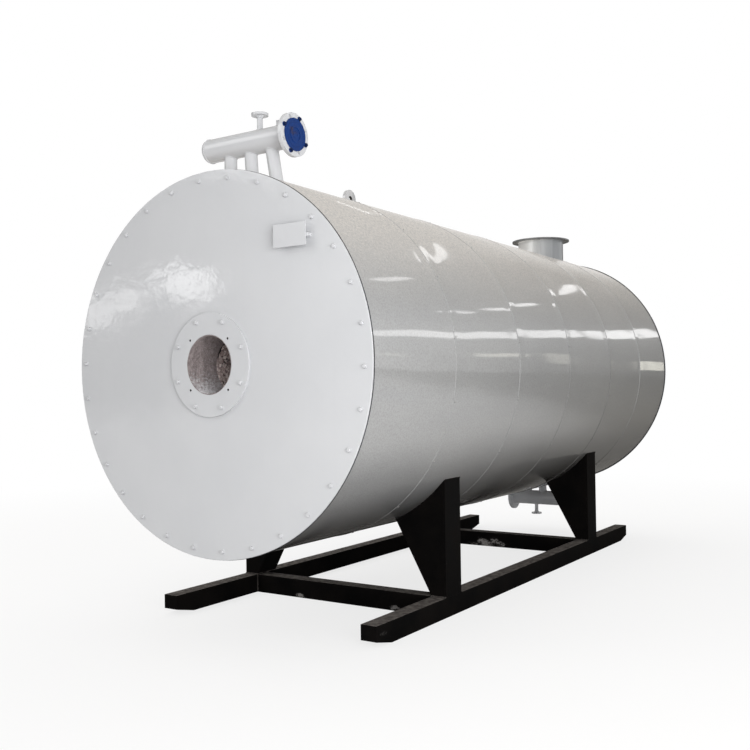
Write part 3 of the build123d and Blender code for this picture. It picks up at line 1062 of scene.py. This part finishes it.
def add_welds():
    """All weld beads, painted with what they join."""
    pipes = header_paths("top", "vent", 1) + header_paths("bottom", "drain", -1) + [socket_path()]
    add_beads("header_welds", pipes, pipe_bead, "plate_paint")
    add_beads("lug_weld", [lug_path()], plate_bead, "plate_paint", lug_steel)
    members = cross_member_paths("front") + cross_member_paths("rear")
    add_beads("cross_member_welds", members, plate_bead, "skid_paint", pale_weld)
    legs = []
    for place in ("front", "rear"):
        for side, way in (("left", -1), ("right", 1)):
            legs += leg_paths(place, side, way)
    add_beads("skid_welds", legs, plate_bead, "skid_paint")
    add_beads("flue_welds", flue_paths(), plate_bead, "flue_paint")


# Flange cover and tapped holes


def add_cover_details():
    """Moulded rings on the blue cover, and its pins."""
    low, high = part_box("top_header_flange")
    face = Vector((high.x + cover_face_rise, (low.y + high.y) / 2, (low.z + high.z) / 2))
    rings = [around(face, REAR, UP, radius) for radius in cover_ring_radii]
    add_beads("cover_rings", rings, cover_ring_bead, "cover_plastic", ripple=0.0)
    turns = turns_round(cover_pin_count, cover_pin_turn)
    places = [(face + cover_pin_pitch_radius * Vector((0, cos(turn), sin(turn))), RIGHT) for turn in turns]
    add_fasteners(
        "cover_pins", places, cover_pin_head, "cover_plastic", pin_plastic, cover_pin_washer, seed=11,
    )


def add_hole_threads():
    """Threads of the four tapped holes for the burner, as rings down each hole, near black as painted shade
    in the holes.
    """
    bolts = mounts["burner_bolts"]["dims"]
    ring_radius = bolts["hole_r_mm"] * MILLIMETRE - thread_depth / 2
    pitch_radius = bolts["pcd_mm"] * MILLIMETRE / 2
    rings = []
    for hole_turn in turns_round(bolts["count"], tapped_hole_turn):
        for thread in range(thread_turns):
            centre = on_plate(pitch_radius, hole_turn, ring_face_y + (thread + 1) * thread_pitch)
            rings.append(around(centre, RIGHT, UP, ring_radius, thread_path_points))
    add_beads("hole_threads", rings, thread_depth, "plate_paint", shaded_thread_steel, 0.0)


# Throat lining


def lining_radius(turn, depth):
    """Inner radius of the lining: smeared over the opening's edge, smooth, a joint, then broken rubble."""
    spot = Vector((throat_radius * cos(turn), depth, throat_radius * sin(turn)))
    fine = noise.fractal(spot * lining_grain, 0.8, 2.0, 4) * lining_rough
    if depth < lining_joint_depth:
        smear = lining_smear * max(0.0, 1 - max(depth, 0.0) / lining_smear_reach)
        return throat_radius + lining_rough * 0.6 + fine - smear
    if depth < lining_joint_depth + lining_joint_width:
        return throat_radius + lining_joint_cut
    lumps = noise.voronoi(spot * rubble_grain)[0]
    return throat_radius + (lumps[1] - lumps[0]) * -rubble_rough + rubble_rough * 0.7 + 2 * fine


def add_throat_lining():
    """Rough castable lining in place of the plain throat, drawn out to the ring's face."""
    start = throat_low.y
    front_depth = ring_face_y + lining_set_back - start
    length = throat_high.y - start
    turns = turns_round(lining_sides)
    rows = []
    for ring in range(lining_rings):
        depth = front_depth + (length - front_depth) * ring / (lining_rings - 1)
        rows.append(([lining_radius(turn, depth) for turn in turns], start + depth))
    for radius, y in (
        (throat_outer_radius, throat_high.y),
        (throat_outer_radius, start),
        (throat_radius - lining_clearance, start),
        (throat_radius - lining_clearance, start + front_depth),
    ):
        rows.append(([radius] * lining_sides, y))
    points = [on_plate(radius, turn, y) for radii, y in rows for radius, turn in zip(radii, turns)]
    faces = []
    for row in range(len(rows)):
        below = row * lining_sides
        above = ((row + 1) % len(rows)) * lining_sides
        for side in range(lining_sides):
            beside = (side + 1) % lining_sides
            faces.append((below + side, above + side, above + beside, below + beside))
    mesh = bpy.data.meshes.new("throat_lining")
    mesh.from_pydata(points, [], faces)
    mesh.materials.append(finishes["castable"])
    lining = add_piece("throat_lining", mesh)
    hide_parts("burner_throat")


# Studio: what the camera sees of the floor, what lights the boiler and what its gloss mirrors
floor_white = (0.90, 0.895, 0.89)
floor_bounce = (0.52, 0.515, 0.51)
# What the gloss mirrors of the floor: painted shade towards the rear and painted shadow under the boiler
floor_shade_behind = (0.26, 0.25, 0.225)
floor_shadow_under = (0.20, 0.195, 0.185)
soft_low, soft_high = (0.66, 0.67, 0.69), (0.76, 0.745, 0.72)
dim_low, dim_high = (0.14, 0.135, 0.125), (0.26, 0.25, 0.235)
roof_grey = (0.66, 0.65, 0.63)
white = (1, 1, 1)
warm_white = (1, 0.98, 0.86)
soft_strength = 0.6


def add_floor():
    """Wide pale floor that keeps the boiler's shadow; what the gloss mirrors of it has painted shadow under
    the boiler and painted shade towards the rear.
    """
    mesh = bpy.data.meshes.new("floor")
    turns = turns_round(floor_sides)
    points = [Vector((floor_radius * cos(turn), floor_radius * sin(turn), floor_z)) for turn in turns]
    mesh.from_pydata(points, [], [tuple(range(floor_sides))])
    floor = add_object("floor", mesh)
    material = bpy.data.materials.new("floor_paint")
    tree = empty_tree(material)
    path = new_node(tree, "ShaderNodeLightPath").outputs
    place = object_place(tree)
    axes = axes_of(tree, place)
    distance = vectors(tree, "LENGTH", place)
    sideways = maths(tree, "ABSOLUTE", axes["X"])
    beside = ramp(tree, sideways, 0.8, 2.0)
    ahead = ramp(tree, maths(tree, "SUBTRACT", axes["Y"], sideways), -1.5, 4.0, 1.0, 0.0)
    # For the gloss, painted shade towards the rear and painted shadow under the boiler
    colour = mix(tree, ahead, floor_shade_behind, floor_white)
    colour = mix(tree, beside, floor_shadow_under, colour)
    colour = mix(tree, path["Is Camera Ray"], colour, floor_white)
    colour = mix(tree, path["Is Diffuse Ray"], colour, floor_bounce)
    matt = output(tree, "ShaderNodeBsdfDiffuse", {"Color": colour})
    glow = output(tree, "ShaderNodeEmission", {"Strength": 1.0})
    seen = maths(tree, "MAXIMUM", path["Is Camera Ray"], path["Is Transmission Ray"])
    seen = times(tree, seen, ramp(tree, distance, 3.0, 9.0, 0.76, 1.0))
    mirrored = times(tree, times(tree, beside, ahead), ramp(tree, distance, 2.0, 7.0, 0.25, 0.85))
    seen = maths(tree, "MAXIMUM", seen, times(tree, mirrored, path["Is Glossy Ray"]))
    blend = output(tree, "ShaderNodeMixShader", {0: seen, 1: matt, 2: glow})
    new_node(tree, "ShaderNodeOutputMaterial", {"Surface": blend})
    mesh.materials.append(material)


def light_world():
    """White behind the boiler, soft light round it, and dimmer ends and roof for its gloss to mirror."""
    world = bpy.data.worlds.new("hall")
    bpy.context.scene.world = world
    tree = empty_tree(world)
    path = new_node(tree, "ShaderNodeLightPath").outputs
    axes = axes_of(tree, new_node(tree, "ShaderNodeTexCoord").outputs["Generated"])
    soft = mix(tree, ramp(tree, axes["Z"], -0.05, 0.55), soft_low, soft_high)
    hall = output(tree, "ShaderNodeBackground", {"Color": soft, "Strength": soft_strength})
    left_end = ramp(tree, axes["X"], -0.72, -0.56, 1.0, 0.0)
    behind = ramp(tree, axes["Y"], 0.81, 0.96)
    behind = times(tree, behind, ramp(tree, axes["X"], -0.28, -0.08))
    far_end = maths(tree, "MAXIMUM", behind, left_end)
    far_end = maths(tree, "SUBTRACT", far_end, path["Is Camera Ray"])
    dim = mix(tree, ramp(tree, axes["Z"], 0.0, 0.35), dim_low, dim_high)
    overhead = ramp(tree, axes["Z"], 0.18, 0.42)
    roof = times(tree, overhead, ramp(tree, axes["Y"], 0.3, 0.7))
    roof = maths(tree, "SUBTRACT", roof, path["Is Camera Ray"])
    shown = mix(tree, far_end, mix(tree, roof, white, roof_grey), dim)
    backdrop = output(tree, "ShaderNodeBackground", {"Color": shown, "Strength": 1.0})
    seen = maths(tree, "MAXIMUM", path["Is Camera Ray"], path["Is Glossy Ray"])
    seen = maths(tree, "MAXIMUM", seen, path["Is Transmission Ray"])
    both = output(tree, "ShaderNodeMixShader", {0: seen, 1: hall, 2: backdrop})
    new_node(tree, "ShaderNodeOutputWorld", {"Surface": both})


def add_lamp(name, place, target, width, height, radiance, shape="RECTANGLE", colour=white):
    """Flat lamp of an even brightness, aimed at a point and hidden from the camera."""
    light = bpy.data.lights.new(name, "AREA")
    light.shape = shape
    light.color = colour
    light.size = width
    light.size_y = height
    light.energy = radiance * pi * width * height * (pi / 4 if shape == "ELLIPSE" else 1.0)
    lamp = add_object(name, light)
    lamp.location = place
    lamp.rotation_euler = (Vector(target) - Vector(place)).to_track_quat("-Z", "Y").to_euler()
    lamp.visible_camera = False
    return lamp


drum_middle = (0, 0, axis_z)
plate_middle = (0, front_y, axis_z)

# Large soft lamps: name, place, target, width, height, brightness, and whether the gloss mirrors it
soft_lamps = (
    ("fill", (5.6, -6.0, 1.8), plate_middle, 4.6, 3.4, 7.6, False),
    ("key", (-6.2, -9.5, 7.4), plate_middle, 5.2, 5.2, 2.7, True),
    ("ceiling", (-1.5, 3.8, 9.5), (-1.0, 3.2, axis_z), 14.0, 9.0, 1.4, False),
)

# Small lamps and bright panels for the gloss to mirror: place, width, height and brightness
roof_strips = (
    ((-4.5, -3.4, 8.0), 6.0, 0.12, 4.0),
    ((-4.5, -7.2, 8.0), 6.0, 0.12, 4.0),
    ((-4.2, 8.1, 8.0), 1.35, 0.16, 3.4),
)
high_windows = (
    ((12.1, 19.0, 6.25), 5.2, 0.90, 2.9),
    ((7.9, 19.0, 6.10), 2.1, 0.90, 2.7),
    ((5.9, 19.0, 5.70), 1.4, 0.95, 2.6),
    ((4.6, 19.0, 5.60), 0.9, 0.85, 2.3),
)
low_windows = (
    ((14.5, 19.0, 3.10), 1.1, 0.36, 0.9),
    ((10.5, 19.0, 3.45), 1.4, 0.45, 1.5),
    ((8.65, 19.0, 2.90), 0.7, 1.30, 0.8),
    ((6.1, 19.0, 2.20), 0.75, 1.00, 1.9),
)
hall_lamps = (
    ((1.3, 10.0, 6.0), 1.4, 0.26, 2.4),
    ((3.6, 10.0, 6.0), 0.8, 0.20, 3.0),
    ((4.55, 10.0, 6.0), 0.8, 0.20, 3.0),
    ((5.75, 10.0, 6.0), 0.8, 0.20, 2.4),
    ((0.75, 4.9, 6.0), 1.7, 0.30, 2.1),
    ((3.3, 4.9, 6.0), 0.9, 0.20, 2.4),
)
side_lamps = (
    ((-7.2, -9.6, 3.2), 0.95, 0.55, 4.8),
    ((-8.1, -9.2, 3.0), 0.46, 0.42, 4.0),
    ((-8.6, -9.0, 2.75), 0.50, 0.55, 3.6),
)


def light_boiler():
    """Soft light from the front and above, and the small lamps; the roof strips point straight down."""
    for name, place, target, width, height, radiance, mirrored in soft_lamps:
        lamp = add_lamp(name, place, target, width, height, radiance)
        lamp.visible_glossy = mirrored
    for name, lamps, target, shape, colour in (
        ("roof_strip", roof_strips, None, "RECTANGLE", white),
        ("high_window", high_windows, drum_middle, "RECTANGLE", white),
        ("low_window", low_windows, drum_middle, "RECTANGLE", warm_white),
        ("hall_lamp", hall_lamps, drum_middle, "ELLIPSE", white),
        ("side_lamp", side_lamps, plate_middle, "ELLIPSE", white),
    ):
        for index, (place, width, height, radiance) in enumerate(lamps):
            aim = target or (place[0], place[1], 0)
            add_lamp(f"{name}_{index}", place, aim, width, height, radiance, shape, colour)


def add_camera():
    """The photograph's viewpoint."""
    level = Vector((cos(camera_yaw), sin(camera_yaw), 0))
    along = cos(camera_pitch)
    forward = Vector((-sin(camera_yaw) * along, cos(camera_yaw) * along, sin(camera_pitch)))
    upward = level.cross(forward)
    right = cos(camera_roll) * level + sin(camera_roll) * upward
    up = cos(camera_roll) * upward - sin(camera_roll) * level
    data = bpy.data.cameras.new("viewpoint")
    data.sensor_width = camera_sensor
    data.lens = camera_lens
    data.clip_end = camera_reach
    camera = add_object("viewpoint", data)
    turned = Matrix((right, up, -forward)).transposed().to_4x4()
    camera.matrix_world = Matrix.Translation(camera_place) @ turned
    bpy.context.scene.camera = camera


paint_cad_nodes()
add_rim_bolts()
add_ring_bolts()
add_holder_screw()
add_seam_screws()
add_rim_shade_ropes()
add_welds()
add_cover_details()
add_hole_threads()
add_throat_lining()
add_floor()
light_world()
light_boiler()
add_camera()
bpy.context.scene.view_settings.view_transform = "Standard"
